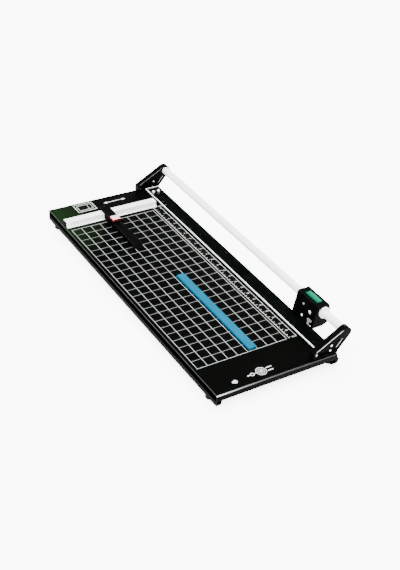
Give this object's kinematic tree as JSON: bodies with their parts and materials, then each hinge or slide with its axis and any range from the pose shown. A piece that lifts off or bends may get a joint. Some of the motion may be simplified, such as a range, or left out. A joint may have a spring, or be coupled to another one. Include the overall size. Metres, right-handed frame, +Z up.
{
  "type": "rotary paper trimmer",
  "caption": "Rotary paper trimmer: flat gridded board, guide rail between two brackets, sliding cutter head with a round blade, clear clamp strip, scale bar, sliding stop and magnetic bar.",
  "frame": {"origin": "centre of the object's box, on the surface that the feet stand on", "axes": "+X from the open side of the board towards the cutting edge, +Y from the user's near end towards the scale bar, +Z up"},
  "size_m": [0.3434, 0.786, 0.1004],
  "materials": {
    "painted_steel": "black powder coat, slight sheen",
    "black_plastic": "fine moulded texture",
    "white_enamel": "white enamel",
    "chrome": "polished",
    "blade_steel": "ground",
    "zinc_screw": "zinc plated",
    "black_oxide": "black oxide",
    "rubber": "matt",
    "clear_acrylic": "clear with bright polished edges",
    "nylon": "natural white",
    "red_acrylic": "tinted, translucent",
    "cyan_plastic": "satin",
    "green_plastic": "satin",
    "ferrite": "matt"
  },
  "bodies": {
    "base": {"base_panel": "painted_steel", "left_rail": "black_plastic", "right_rail": "black_plastic", "front_brace": "painted_steel", "rear_brace": "painted_steel", "foot_front_left": "rubber", "foot_front_right": "rubber", "foot_rear_left": "rubber", "foot_rear_right": "rubber", "foot_front_left_screw": "zinc_screw", "foot_front_right_screw": "zinc_screw", "foot_rear_left_screw": "zinc_screw", "foot_rear_right_screw": "zinc_screw", "near_bracket": "black_plastic", "far_bracket": "black_plastic", "near_bracket_screw_1": "zinc_screw", "near_bracket_screw_2": "zinc_screw", "near_bracket_screw_3": "zinc_screw", "far_bracket_screw_1": "zinc_screw", "far_bracket_screw_2": "zinc_screw", "far_bracket_screw_3": "zinc_screw", "near_bracket_set_screw": "black_oxide", "far_bracket_set_screw": "black_oxide", "guide_rail": "chrome", "counter_blade": "blade_steel", "blade_screw_1": "zinc_screw", "blade_screw_2": "zinc_screw", "blade_screw_3": "zinc_screw", "blade_screw_4": "zinc_screw", "blade_screw_5": "zinc_screw", "scale_bar": "white_enamel", "scale_bar_left_cap": "black_plastic", "scale_bar_right_cap": "black_plastic", "clamp_post_near_inner": "nylon", "clamp_post_near_outer": "nylon", "clamp_post_far_inner": "nylon", "clamp_post_far_outer": "nylon", "clamp_spring_near_inner": "zinc_screw", "clamp_spring_near_outer": "zinc_screw", "clamp_spring_far_inner": "zinc_screw", "clamp_spring_far_outer": "zinc_screw"},
    "clamp": {"clamp_strip": "clear_acrylic"},
    "paper_stop": {"stop_saddle": "black_plastic", "stop_arm": "black_plastic", "stop_cursor": "red_acrylic", "stop_screw": "zinc_screw"},
    "magnet_bar": {"magnetic_bar": "cyan_plastic", "bar_magnet": "ferrite"},
    "head": {"head_body": "black_plastic", "head_cover": "black_plastic", "near_bush": "nylon", "far_bush": "nylon", "head_inlay": "green_plastic", "cover_screw_1": "zinc_screw", "cover_screw_2": "zinc_screw", "wheel_axle": "zinc_screw", "spring_washer": "blade_steel", "roller_pin": "zinc_screw"},
    "wheel": {"cutting_wheel": "blade_steel"},
    "roller": {"presser_roller": "nylon"}
  },
  "joints": [
    {"name": "head_slide", "type": "slide", "parent": "base", "child": "head", "axis": [0, 1, 0], "range_m": [-0.0585, 0.6025]},
    {"name": "wheel_spin", "type": "hinge", "parent": "head", "child": "wheel", "pos_m": [0.1402, -0.2655, 0.0545], "axis": [1, 0, 0], "continuous": true},
    {"name": "roller_spin", "type": "hinge", "parent": "head", "child": "roller", "pos_m": [0.13345, -0.2905, 0.0517], "axis": [1, 0, 0], "continuous": true},
    {"name": "clamp_press", "type": "slide", "parent": "base", "child": "clamp", "axis": [0, 0, 1], "range_m": [-0.004, 0], "stiffness_N_per_m": 600, "springref_m": 0.004, "deforming": ["clamp_spring_near_inner", "clamp_spring_near_outer", "clamp_spring_far_inner", "clamp_spring_far_outer"]},
    {"name": "stop_slide", "type": "slide", "parent": "base", "child": "paper_stop", "axis": [1, 0, 0], "range_m": [-0.1035, 0.1265]},
    {"name": "bar_slide", "type": "slide", "parent": "base", "child": "magnet_bar", "axis": [1, 0, 0], "range_m": [-0.137, 0.106]}
  ],
  "couplings": [
    {"joint": "wheel_spin", "follows": "head_slide", "rad_per_m": -44.444},
    {"joint": "roller_spin", "follows": "head_slide", "rad_per_m": -119.05}
  ]
}
